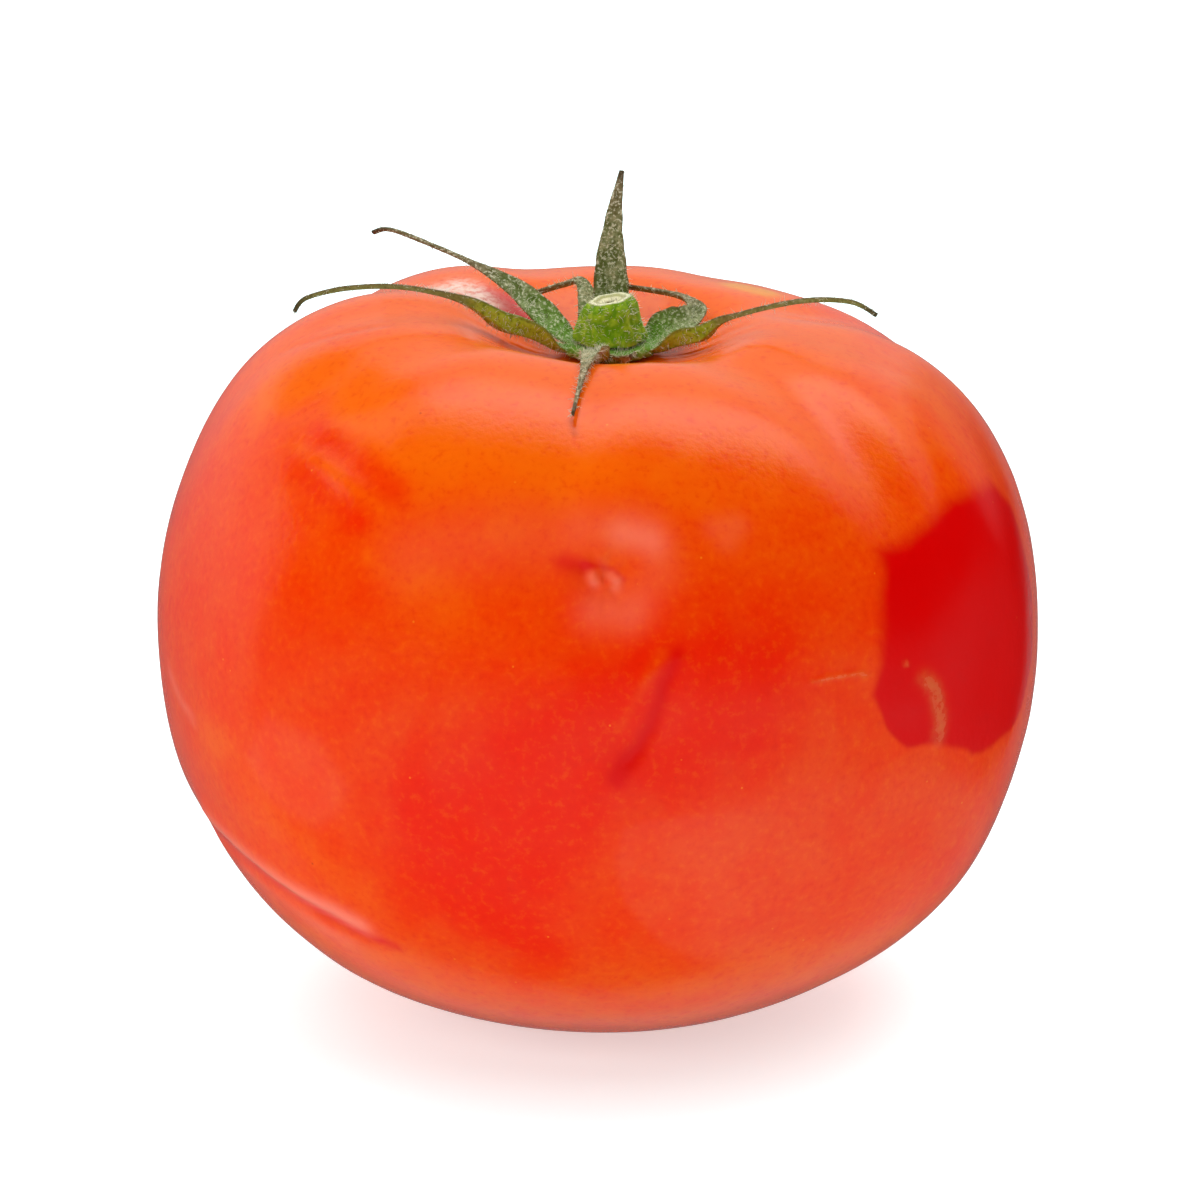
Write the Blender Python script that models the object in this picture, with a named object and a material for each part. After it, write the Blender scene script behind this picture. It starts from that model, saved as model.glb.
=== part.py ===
"""Beefsteak tomato with its calyx and a short stub of stalk, standing on its blossom end.

Frame: metres, +Z up, +X to the right and +Y away from a viewer in front. The origin is the middle
of the small flat spot that the fruit rests on.
"""

import math

import bmesh
import bpy
from mathutils import Quaternion, Vector
from mathutils.geometry import interpolate_bezier

# Fruit: a turned outline, from the dimple under the calyx to the flat spot below
FRUIT_RADIUS = 0.0450
EQUATOR_HEIGHT = 0.0395
CREST_RADIUS = 0.0180
CREST_HEIGHT = 0.0727
DIMPLE_DEPTH = 0.0041
DIMPLE_FLOOR_RADIUS = 0.0055
REST_RADIUS = 0.0115
REST_EDGE_SLOPE = math.radians(11)
SLOPE_HANDLE = 0.0050
SHOULDER_HANDLE = 0.0170
UPPER_SIDE_HANDLE = 0.0185
LOWER_SIDE_HANDLE = 0.0197
BELLY_HANDLE = 0.0238
SLOPE_STEPS = 7
UPPER_STEPS = 13
LOWER_STEPS = 14
AROUND = 72

# Fruit: what growth does to the turned shape
STALK_SHIFT = 0.0010
SHOULDER_TILT = 0.057
LOBE_COUNT = 7
LOBE_SWELL = 0.0004
LOBE_TURN = math.radians(20)
OVAL_SWELL = 0.0005
# Each furrow runs over the shoulder: azimuth in degrees, depth and half width in metres
FURROWS = (
    (-44, 0.0013, 0.0050),
    (22, 0.0016, 0.0045),
    (66, 0.0006, 0.0050),
    (112, 0.0008, 0.0050),
    (150, 0.0009, 0.0045),
    (182, 0.0015, 0.0040),
    (214, 0.0008, 0.0050),
    (262, 0.0007, 0.0040),
)
FURROW_START = 0.0080
FURROW_MIDDLE = 0.0230
FURROW_END_HEIGHT = 0.0480
# Each dent: azimuth in degrees, height, radius and depth in metres
DENTS = (
    (-89, 0.0575, 0.0050, 0.0011),
    (-84, 0.0425, 0.0045, 0.0005),
    (-137, 0.0630, 0.0060, 0.0008),
    (-28, 0.0430, 0.0060, 0.0005),
    (75, 0.0500, 0.0080, 0.0007),
    (150, 0.0330, 0.0090, 0.0006),
    (-172, 0.0165, 0.0060, 0.0010),
)

# Stalk stub
GAP = 0.0003
STALK_FOOT_RADIUS = 0.0036
STALK_WAIST_RADIUS = 0.0031
STALK_SHOULDER_RADIUS = 0.0028
STALK_CUT_RADIUS = 0.00215
STALK_HEIGHT = 0.0042
STALK_WAIST_HEIGHT = 0.0019
STALK_BEVEL = 0.0006
STALK_RIBS = 6
STALK_RIB_SWELL = 0.05
STALK_AROUND = 36
CUT_SLOPE = math.radians(10)

# Calyx: the ring that the sepals grow from, and the sepals
RING_RADIUS = 0.0046
RING_HEIGHT = 0.0012
RING_BEVEL = 0.0003
RING_AROUND = 28
SEPAL_THICKNESS = 0.00062
SEPAL_THREAD = 0.0007
SEPAL_ROOT_SHARE = 0.72
FULL_WIDTH_FROM = 0.20
NARROWING_FROM = 0.10
PATH_STEPS = 10
SEPAL_STEPS = 22
SEPAL_ACROSS = 4
CUPPED_FROM = 0.15
ROLL_DONE = 0.3
# Every sepal leaves the ring along these points: reach from the stalk's axis, offset to the left and
# rise above the ring's top, in millimetres
SEPAL_ROOT = ((3.4, 0, -0.7), (5.2, 0, -0.4))
# Each sepal: azimuth in degrees, widest in metres, the share of its length where the blade has drawn out
# into a thread, cupping, roll in degrees, and the rest of its path, in the root's measures
SEPALS = (
    ("right", -10, 0.0042, 0.44, 0.35, -58,
     ((6.7, 0.1, 0.2), (9.4, 0, 1.0), (12.1, 0, 3.0), (19.3, -0.2, 5.2), (24.7, 0, 5.4), (27.5, 0, 4.1))),
    ("right_back", 25, 0.0044, 0.75, 0.40, 30,
     ((6.6, 0, 0.4), (8.9, 0.2, 1.2), (10.4, 1.5, 1.9), (9.8, 4.7, 2.6), (5.8, 8.3, 3.1))),
    ("back", 88, 0.0043, 1.15, 0.20, -8,
     ((5.6, 0, 3.9), (5.8, 0, 8.4), (6.1, -0.3, 12.0), (7.0, -1.0, 16.2))),
    ("left_back", 112, 0.0030, 0.80, 0.25, -15,
     ((5.4, 0, 2.2), (8.5, -0.2, 4.1), (10.1, 1.1, 3.6), (12.8, 4.2, 2.0))),
    ("left_high", 149, 0.0041, 0.72, 0.30, -28,
     ((6.7, -0.1, 0.5), (11.7, -0.6, 3.7), (17.8, -1.0, 5.8), (24.7, -0.9, 7.5), (27.3, -0.5, 8.0),
      (28.8, -0.2, 7.5))),
    ("left", 187, 0.0044, 0.55, 0.35, 58,
     ((7.7, -0.1, 0.9), (10.8, -0.1, 2.0), (14.7, 0.2, 4.7), (20.6, 0.5, 6.5), (26.5, 0.5, 6.7),
      (31.0, 0.4, 5.8), (32.3, 0.5, 4.4))),
    ("front", 255, 0.0038, 0.90, 0.25, 18,
     ((11.0, 1.2, 2.0), (18.4, 2.5, 2.8), (23.0, 3.1, 2.0), (28.0, 3.7, 0.5))),
    ("stub", 286, 0.0032, 1.0, 0.30, 0, ((6.8, 0.3, 0.3),)),
)
MILLIMETRE = 0.001

SHARP_EDGE = math.radians(40)

SKIN_RED = (0.78, 0.075, 0.012)
SKIN_ROUGHNESS = 0.25
CALYX_GREEN = (0.09, 0.14, 0.045)
CALYX_ROUGHNESS = 0.7
STALK_GREEN = (0.10, 0.22, 0.02)
STALK_ROUGHNESS = 0.6


def clear_scene():
    for old in list(bpy.data.objects):
        bpy.data.objects.remove(old)


def finish(name, red_green_blue, roughness):
    material = bpy.data.materials.new(name)
    material.use_nodes = True
    shader = material.node_tree.nodes["Principled BSDF"]
    shader.inputs["Base Color"].default_value = (*red_green_blue, 1)
    shader.inputs["Roughness"].default_value = roughness
    shader.inputs["Metallic"].default_value = 0
    return material


def add_object(name, mesh_builder, material):
    mesh = bpy.data.meshes.new(name)
    mesh_builder.to_mesh(mesh)
    mesh_builder.free()
    mesh.shade_smooth()
    mesh.materials.append(material)
    made = bpy.data.objects.new(name, mesh)
    bpy.context.scene.collection.objects.link(made)
    return made


def ramp(value, start, end):
    """0 before start, 1 after end and smooth between, also where end is below start."""
    share = min(1.0, max(0.0, (value - start) / (end - start)))
    return share * share * (3 - 2 * share)


def bell(distance, half_width):
    return math.exp(-((distance / half_width) ** 2))


def bezier_run(start, start_handle, end_handle, end, steps):
    """The points after start on one Bezier curve in the XZ plane."""
    points = [Vector((x, 0, z)) for x, z in (start, start_handle, end_handle, end)]
    return interpolate_bezier(*points, steps + 1)[1:]


def fruit_outline():
    """Half the fruit's outline, from the dimple's middle over the crest to the middle of the flat spot."""
    floor_height = CREST_HEIGHT - DIMPLE_DEPTH
    floor_edge = (DIMPLE_FLOOR_RADIUS, floor_height)
    crest = (CREST_RADIUS, CREST_HEIGHT)
    equator = (FRUIT_RADIUS, EQUATOR_HEIGHT)
    rest_edge = (REST_RADIUS, 0)
    outline = [Vector((0, 0, floor_height)), Vector((floor_edge[0], 0, floor_edge[1]))]
    outline += bezier_run(
        floor_edge,
        (floor_edge[0] + SLOPE_HANDLE, floor_height),
        (CREST_RADIUS - SLOPE_HANDLE, CREST_HEIGHT),
        crest,
        SLOPE_STEPS,
    )
    outline += bezier_run(
        crest,
        (CREST_RADIUS + SHOULDER_HANDLE, CREST_HEIGHT),
        (FRUIT_RADIUS, EQUATOR_HEIGHT + UPPER_SIDE_HANDLE),
        equator,
        UPPER_STEPS,
    )
    belly_handle = (
        REST_RADIUS + BELLY_HANDLE * math.cos(REST_EDGE_SLOPE),
        BELLY_HANDLE * math.sin(REST_EDGE_SLOPE),
    )
    outline += bezier_run(
        equator,
        (FRUIT_RADIUS, EQUATOR_HEIGHT - LOWER_SIDE_HANDLE),
        belly_handle,
        rest_edge,
        LOWER_STEPS,
    )
    outline.append(Vector((0, 0, 0)))
    return outline


def furrow_depth(x, y, z):
    """How far the furrows sink the shoulder at this point of the turned shape."""
    reach = math.hypot(x, y)
    if z < FURROW_END_HEIGHT or reach < FURROW_START:
        return 0.0
    along = ramp(reach, FURROW_START, FURROW_MIDDLE) * ramp(z, FURROW_END_HEIGHT, CREST_HEIGHT)
    sunk = 0.0
    for azimuth, depth, half_width in FURROWS:
        turn = math.remainder(math.atan2(y, x) - math.radians(azimuth), math.tau)
        if abs(turn) < math.pi / 2:
            sunk += depth * bell(reach * math.sin(turn), half_width)
    return sunk * along


def dent_depth(place):
    sunk = 0.0
    for azimuth, height, radius, depth in DENTS:
        angle = math.radians(azimuth)
        aim = Vector((math.cos(angle), math.sin(angle), 0)) * FRUIT_RADIUS
        aim.z = height
        flat = Vector((place.x, place.y, 0)).normalized() * FRUIT_RADIUS
        flat.z = place.z
        sunk += depth * bell((flat - aim).length, radius)
    return sunk


def grown(place):
    """Where growth takes a point of the turned fruit: lobes, furrows, dents and the leaning shoulder."""
    reach = math.hypot(place.x, place.y)
    azimuth = math.atan2(place.y, place.x)
    outwards = Vector((place.x, place.y, place.z - EQUATOR_HEIGHT)).normalized()
    side = ramp(place.z, 0, EQUATOR_HEIGHT / 2) * ramp(reach, DIMPLE_FLOOR_RADIUS, FRUIT_RADIUS)
    swell = LOBE_SWELL * math.cos(LOBE_COUNT * (azimuth - LOBE_TURN))
    swell += OVAL_SWELL * math.cos(2 * azimuth)
    moved = place + outwards * (swell * side - furrow_depth(*place) - dent_depth(place))
    upper = ramp(place.z, EQUATOR_HEIGHT, CREST_HEIGHT - DIMPLE_DEPTH)
    shoulder = upper * ramp(reach, DIMPLE_FLOOR_RADIUS, FURROW_MIDDLE)
    moved.z -= SHOULDER_TILT * place.x * shoulder
    moved.x += STALK_SHIFT * upper
    return moved


def make_fruit(material):
    bm = bmesh.new()
    outline = [bm.verts.new(point) for point in fruit_outline()]
    edges = [bm.edges.new(pair) for pair in zip(outline, outline[1:])]
    bmesh.ops.spin(
        bm,
        geom=outline + edges,
        axis=(0, 0, 1),
        angle=math.tau,
        steps=AROUND,
        use_merge=True,
    )
    bmesh.ops.remove_doubles(bm, verts=bm.verts, dist=1e-6)
    for vert in bm.verts:
        if vert.co.z > 0:
            vert.co = grown(vert.co.copy())
    bmesh.ops.recalc_face_normals(bm, faces=bm.faces)
    return add_object("fruit", bm, material)


def ring_base():
    """The middle of the calyx ring's underside."""
    return Vector((STALK_SHIFT, 0, CREST_HEIGHT - DIMPLE_DEPTH + GAP))


def smooth_path(knots, steps):
    """Points on one smooth curve through the knots, by Catmull-Rom handles."""
    points = [knots[0]]
    for i in range(len(knots) - 1):
        before = knots[max(i - 1, 0)]
        after = knots[min(i + 2, len(knots) - 1)]
        handle_out = knots[i] + (knots[i + 1] - before) / 6
        handle_in = knots[i + 1] - (after - knots[i]) / 6
        points += interpolate_bezier(knots[i], handle_out, handle_in, knots[i + 1], steps + 1)[1:]
    return points


def evenly_spaced(points, count):
    """count + 1 points at equal distances along a path."""
    lengths = [0.0]
    for a, b in zip(points, points[1:]):
        lengths.append(lengths[-1] + (b - a).length)
    spaced = []
    i = 0
    for k in range(count + 1):
        wanted = lengths[-1] * k / count
        while i < len(points) - 2 and lengths[i + 1] < wanted:
            i += 1
        share = (wanted - lengths[i]) / (lengths[i + 1] - lengths[i])
        spaced.append(points[i].lerp(points[i + 1], share))
    return spaced


def sepal_frames(azimuth, path, roll):
    """Place, sideways and upper side's direction at each step along a sepal's middle line."""
    angle = math.radians(azimuth)
    outwards = Vector((math.cos(angle), math.sin(angle), 0))
    leftwards = Vector((-math.sin(angle), math.cos(angle), 0))
    root = ring_base() + Vector((0, 0, RING_HEIGHT))
    knots = [
        root + (outwards * reach + leftwards * left + Vector((0, 0, rise))) * MILLIMETRE
        for reach, left, rise in SEPAL_ROOT + path
    ]
    middle = evenly_spaced(smooth_path(knots, PATH_STEPS), SEPAL_STEPS)
    frames = []
    sideways = leftwards
    for i, place in enumerate(middle):
        along = (middle[min(i + 1, SEPAL_STEPS)] - middle[max(i - 1, 0)]).normalized()
        sideways = (sideways - along * sideways.dot(along)).normalized()
        turn = Quaternion(along, math.radians(roll) * ramp(i / SEPAL_STEPS, 0, ROLL_DONE))
        frames.append((place, turn @ sideways, turn @ along.cross(sideways)))
    return frames


def sepal_width(share, widest, thread_from):
    """Width at this share of the length: a lance blade that draws out into a thread."""
    root = SEPAL_ROOT_SHARE + (1 - SEPAL_ROOT_SHARE) * ramp(share, 0, FULL_WIDTH_FROM)
    blade = root * (1 - ramp(share, NARROWING_FROM, thread_from))
    return SEPAL_THREAD + (widest - SEPAL_THREAD) * blade


def make_sepal(name, azimuth, widest, thread_from, cupping, roll, path):
    frames = sepal_frames(azimuth, path, roll)
    bm = bmesh.new()
    bmesh.ops.create_grid(bm, x_segments=SEPAL_STEPS, y_segments=SEPAL_ACROSS, size=0.5)
    for vert in bm.verts:
        share = vert.co.x + 0.5
        across = vert.co.y * 2
        place, sideways, face = frames[round(share * SEPAL_STEPS)]
        half = sepal_width(share, widest, thread_from) / 2
        lift = cupping * ramp(share, 0, CUPPED_FROM) * half * across * across
        vert.co = place + sideways * (across * half) + face * lift
    bmesh.ops.triangulate(bm, faces=bm.faces)
    mesh = bpy.data.meshes.new(name)
    bm.to_mesh(mesh)
    bm.free()
    sepal = bpy.data.objects.new(name, mesh)
    thicken = sepal.modifiers.new("thickness", "SOLIDIFY")
    thicken.thickness = SEPAL_THICKNESS
    thicken.offset = 0
    thicken.use_even_offset = True
    return sepal


def make_calyx(material):
    """The ring under the stalk with every sepal fused to it."""
    bm = bmesh.new()
    bmesh.ops.create_cone(
        bm,
        cap_ends=True,
        segments=RING_AROUND,
        radius1=RING_RADIUS,
        radius2=RING_RADIUS,
        depth=RING_HEIGHT,
    )
    rims = [edge for edge in bm.edges if edge.verts[0].co.z * edge.verts[1].co.z > 0]
    bmesh.ops.bevel(
        bm,
        geom=rims,
        offset=RING_BEVEL,
        offset_type="OFFSET",
        affect="EDGES",
        segments=1,
        profile=0.5,
        material=-1,
    )
    bmesh.ops.translate(bm, verts=bm.verts, vec=ring_base() + Vector((0, 0, RING_HEIGHT / 2)))
    calyx = add_object("calyx", bm, material)
    sepals = bpy.data.collections.new("sepals")
    bpy.context.scene.collection.children.link(sepals)
    for details in SEPALS:
        sepals.objects.link(make_sepal(*details))
    fuse = calyx.modifiers.new("fuse", "BOOLEAN")
    fuse.operation = "UNION"
    fuse.operand_type = "COLLECTION"
    fuse.collection = sepals
    fuse.solver = "EXACT"
    bpy.context.view_layer.update()
    graph = bpy.context.evaluated_depsgraph_get()
    fused = bpy.data.meshes.new_from_object(calyx.evaluated_get(graph))
    calyx.modifiers.remove(fuse)
    calyx.data = fused
    for sepal in list(sepals.objects):
        bpy.data.objects.remove(sepal)
    bpy.data.collections.remove(sepals)
    fused.shade_smooth()
    fused.set_sharp_from_angle(angle=SHARP_EDGE)
    return calyx


def make_stalk(material):
    """The stub of stalk: a ribbed knob that flares into the calyx, cut off a little aslant."""
    profile = (
        (0, 0),
        (STALK_FOOT_RADIUS, 0),
        (STALK_FOOT_RADIUS, STALK_BEVEL),
        (STALK_WAIST_RADIUS, STALK_WAIST_HEIGHT),
        (STALK_SHOULDER_RADIUS, STALK_HEIGHT - 2 * STALK_BEVEL),
        (STALK_SHOULDER_RADIUS - STALK_BEVEL / 3, STALK_HEIGHT - STALK_BEVEL),
        (STALK_CUT_RADIUS, STALK_HEIGHT),
        (0, STALK_HEIGHT),
    )
    bm = bmesh.new()
    outline = [bm.verts.new((x, 0, z)) for x, z in profile]
    edges = [bm.edges.new(pair) for pair in zip(outline, outline[1:])]
    bmesh.ops.spin(
        bm,
        geom=outline + edges,
        axis=(0, 0, 1),
        angle=math.tau,
        steps=STALK_AROUND,
        use_merge=True,
    )
    bmesh.ops.remove_doubles(bm, verts=bm.verts, dist=1e-6)
    for vert in bm.verts:
        x, y, z = vert.co
        rib = 1 + STALK_RIB_SWELL * math.cos(STALK_RIBS * math.atan2(y, x))
        vert.co.x *= rib
        vert.co.y *= rib
        vert.co.z += math.tan(CUT_SLOPE) * x * ramp(z, STALK_HEIGHT / 2, STALK_HEIGHT)
    bmesh.ops.recalc_face_normals(bm, faces=bm.faces)
    foot = ring_base() + Vector((0, 0, RING_HEIGHT + GAP))
    bmesh.ops.translate(bm, verts=bm.verts, vec=foot)
    stalk = add_object("stalk", bm, material)
    stalk.data.set_sharp_from_angle(angle=SHARP_EDGE)
    return stalk


def main():
    clear_scene()
    make_fruit(finish("skin", SKIN_RED, SKIN_ROUGHNESS))
    make_calyx(finish("calyx_green", CALYX_GREEN, CALYX_ROUGHNESS))
    make_stalk(finish("stalk_green", STALK_GREEN, STALK_ROUGHNESS))


main()
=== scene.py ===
"""Looks of the beefsteak tomato: its furrowed and scarred skin, its curled calyx and its cut stalk.

Frame: metres, +Z up, +X to the right and +Y away from a viewer in front. A place on the skin is given as on
a globe: longitude in degrees round the upright axis, counted from +X, and latitude in degrees as seen from
the middle of the fruit at its equator's height. The front is at longitude -90.
"""

import math

import bmesh
import bpy
import numpy as np
from mathutils import Matrix, Quaternion, Vector, noise
from mathutils.geometry import interpolate_bezier


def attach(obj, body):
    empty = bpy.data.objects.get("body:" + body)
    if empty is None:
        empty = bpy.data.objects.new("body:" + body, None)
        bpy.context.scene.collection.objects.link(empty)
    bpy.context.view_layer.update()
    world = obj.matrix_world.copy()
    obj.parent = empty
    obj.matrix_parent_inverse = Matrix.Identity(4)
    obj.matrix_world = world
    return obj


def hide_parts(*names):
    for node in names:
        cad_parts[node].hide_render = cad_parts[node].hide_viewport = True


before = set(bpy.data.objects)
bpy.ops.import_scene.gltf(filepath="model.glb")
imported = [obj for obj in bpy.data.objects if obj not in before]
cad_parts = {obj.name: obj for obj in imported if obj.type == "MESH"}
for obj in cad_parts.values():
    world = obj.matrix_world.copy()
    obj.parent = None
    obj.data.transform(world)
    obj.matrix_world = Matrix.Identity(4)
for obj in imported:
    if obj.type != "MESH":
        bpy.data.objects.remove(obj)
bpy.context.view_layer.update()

MILLIMETRE = 0.001
MERGE_DISTANCE = 1e-6

# Fruit: the turned outline, as in the part's source
FRUIT_RADIUS = 0.0450
EQUATOR_HEIGHT = 0.0395
CREST_RADIUS = 0.0180
CREST_HEIGHT = 0.0727
DIMPLE_DEPTH = 0.0041
DIMPLE_FLOOR_RADIUS = 0.0055
REST_RADIUS = 0.0115
REST_EDGE_SLOPE = math.radians(11)
SLOPE_HANDLE = 0.0050
SHOULDER_HANDLE = 0.0170
UPPER_SIDE_HANDLE = 0.0185
LOWER_SIDE_HANDLE = 0.0197
BELLY_HANDLE = 0.0238

# Fruit: what growth does to the turned shape, as in the part's source
STALK_SHIFT = 0.0010
SHOULDER_TILT = 0.057
LOBE_COUNT = 7
LOBE_SWELL = 0.0004
LOBE_TURN = math.radians(20)
OVAL_SWELL = 0.0005
# Each furrow runs over the shoulder: azimuth in degrees, depth and half width in metres. The ones at 22 and
# 182 are a little shallower than in the source
FURROWS = (
    (-44, 0.0013, 0.0050),
    (22, 0.0012, 0.0045),
    (66, 0.0006, 0.0050),
    (112, 0.0008, 0.0050),
    (150, 0.0009, 0.0045),
    (182, 0.0006, 0.0050),
    (214, 0.0008, 0.0050),
    (262, 0.0007, 0.0040),
)
FURROW_START = 0.0080
FURROW_MIDDLE = 0.0230
FURROW_END_HEIGHT = 0.0480
# Each dent: azimuth in degrees, height, radius and depth in metres
DENTS = (
    (-89, 0.0575, 0.0050, 0.0011),
    (-84, 0.0425, 0.0045, 0.0005),
    (-137, 0.0630, 0.0060, 0.0008),
    (-28, 0.0430, 0.0060, 0.0005),
    (75, 0.0500, 0.0080, 0.0007),
    (150, 0.0330, 0.0090, 0.0006),
    (-172, 0.0165, 0.0060, 0.0010),
)

# Fruit: how finely its skin is divided, closer at the front than at the back
DIMPLE_STEPS = 5
SLOPE_STEPS = 24
UPPER_STEPS = 72
LOWER_STEPS = 64
REST_STEPS = 9
AROUND = 300
FRONT_CROWDING = 0.42
# Windows of the front that are divided once more: longitudes and latitudes
FINE_WINDOWS = (((-106, -38), (-10, 33)), ((-99, -80), (14, 32)))

# How uneven the skin is: the size of its swells in metres and their height in millimetres
BROAD_SWELLS = (0.014, 0.16)
SMALL_SWELLS = (0.0045, 0.035)
# The fine relief fades out towards the flat spot below this height
FLAT_SPOT_FADE = 0.006

# The healed pucker on the front: its place, and its relief in millimetres. A pit or a lobe has its offset to
# the right and upwards and its radius
PUCKER = (-90.4, 23.6)
PIT_RADIUS = 1.9
PIT_DEPTH = 0.55
SIDE_PIT = (-2.6, 0.5, 1.6)
SIDE_PIT_DEPTH = 0.30
HEART_LOBES = ((-1.15, 0.45, 0.55), (1.05, 0.45, 0.55), (0.0, -0.45, 0.60))
HEART_RISE = 0.36
HEART_GROOVE_DEPTH = 0.22
WRINKLES = 9
WRINKLE_DEPTH = 0.05
LIP_RADIUS = 3.6
LIP_RISE = 0.16

# Skin relief. Lines run through (longitude, latitude) places and have a half width and a depth in
# millimetres; a negative depth is a ridge
GROOVE = ((-80.5, 14.3), (-81.4, 11.8), (-82.5, 8.5), (-83.6, 5.2), (-85.3, 2.0), (-87.0, 0.1), (-87.9, -1.7))
GROOVE_LIP = ((-82.4, 14.4), (-83.7, 12.5), (-85.0, 10.2), (-86.3, 7.2), (-87.5, 5.2))
UPPER_BAND = ((-145, 35.3), (-136.5, 34.5), (-128.7, 32.9), (-123.8, 31.5))
LOWER_BAND = ((-146, 30.2), (-138.6, 29.4), (-132.6, 27.9), (-127.6, 26.5))
BAND_RIDGE = ((-146.8, 32.4), (-138.8, 31.8), (-131.7, 30.5), (-124.3, 28.6))
CREASE = ((-172, -22), (-163, -22.6), (-154, -23.2), (-146.6, -24), (-139.6, -25.6), (-134.5, -27.2),
          (-128.7, -29), (-122, -31))
CREASE_LIP = ((-168, -19.5), (-160, -20), (-153, -20.6), (-147, -21.4), (-140.7, -22.6), (-135.2, -23.9),
              (-130.4, -25.4))
# The painted highlight above the crease, where its lip mirrors the white floor
CREASE_GLEAM = ((-165, -20.5), (-158, -21), (-153, -21.3), (-147.2, -22), (-140.7, -23.2), (-135.2, -24.7),
                (-130.4, -26.2), (-127, -27.5))
RELIEF_LINES = (
    (GROOVE, 0.9, 0.22),
    (GROOVE_LIP, 0.9, -0.12),
    (UPPER_BAND, 1.5, 0.16),
    (LOWER_BAND, 1.4, 0.16),
    (BAND_RIDGE, 0.8, -0.12),
    (CREASE, 1.1, 0.44),
    (CREASE_LIP, 1.9, -0.32),
    (((-179, 38), (-172, 45), (-168, 51), (-166, 57)), 0.6, 0.10),
    (((-40, 60.5), (-26, 55.5), (-14, 49), (-6, 41)), 1.8, 0.05),
    (((-48, 57), (-34, 52.4), (-22, 46.2), (-13, 38)), 2.0, -0.03),
    (((96, 34), (101, 22), (99, 8), (103, -6)), 0.7, 0.30),
    (((40, 20), (46, 10), (47, -2)), 1.3, 0.25),
)
# Thin corky scars, a little raised: places, half width in millimetres and how much they show
CORK_SCARS = (
    (((-63.5, 8.8), (-59.9, 9.1), (-56.4, 9.1), (-52.4, 8.6)), 0.22, 0.36),
    (((-47.2, 9.6), (-47.1, 8.3)), 0.30, 0.30),
    (((-46.2, 7.4), (-44.0, 6.0), (-42.3, 4.1), (-41.7, 1.9), (-41.3, -0.5), (-41.7, -2.4), (-42.2, -3.8)),
     0.85, 0.46),
    (((18, -12), (24, -9), (31, -10), (36, -14)), 0.40, 0.7),
    (((128, 12), (131, 3), (129, -6)), 0.45, 0.7),
    (((141, 24), (146, 21), (153, 22)), 0.30, 0.7),
)
# How far they rise, in millimetres
CORK_RISE = 0.08
# The small round scar of the blossom under the fruit: radius in millimetres and how much it shows
BLOSSOM_SCAR = (1.9, 0.9)
# Painted reflection: a dark red neighbour mirrored in the gloss, painted in as deeper red. Its outline
DARK_REFLECTION_PATCH = (
    (-48.4, 24.8), (-43.9, 25.4), (-37.6, 27.0), (-30.1, 28.8), (-22.9, 28.4), (-14.5, 26.6), (-10.5, 21.9),
    (-11, 14), (-10.5, 6.6), (-12.5, 0.9), (-17.5, -3.4), (-23.7, -6.6), (-34.3, -6.8), (-41.5, -3.6),
    (-47.4, -2.9), (-50.7, 0.5), (-53.1, 5.4), (-51.0, 9.5), (-49.9, 17.0),
)
# Painted reflections of the white studio, in pale pink with a clear edge: outlines, and how much they show
REFLECTION_LOW_RIGHT = (
    (-87.4, -8.4), (-87.9, -12.5), (-87.5, -16.1), (-86.3, -19.4), (-83.8, -23.0), (-80.5, -27.0),
    (-75.9, -30.4), (-62, -33), (-50, -28), (-48, -16), (-54, -8), (-61.0, -3.5), (-68.0, -5.6),
    (-75.2, -6.9), (-84.3, -7.2),
)
REFLECTION_LOW_LEFT = (
    (-140.8, -5.9), (-138.5, -9.6), (-134.3, -12.0), (-129.5, -12.4), (-125.7, -9.7), (-123.8, -5.9),
    (-128, 0), (-137, 1),
)
REFLECTION_LOW_RIGHT_SHOWN = 0.06
REFLECTION_LOW_LEFT_SHOWN = 0.09
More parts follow.
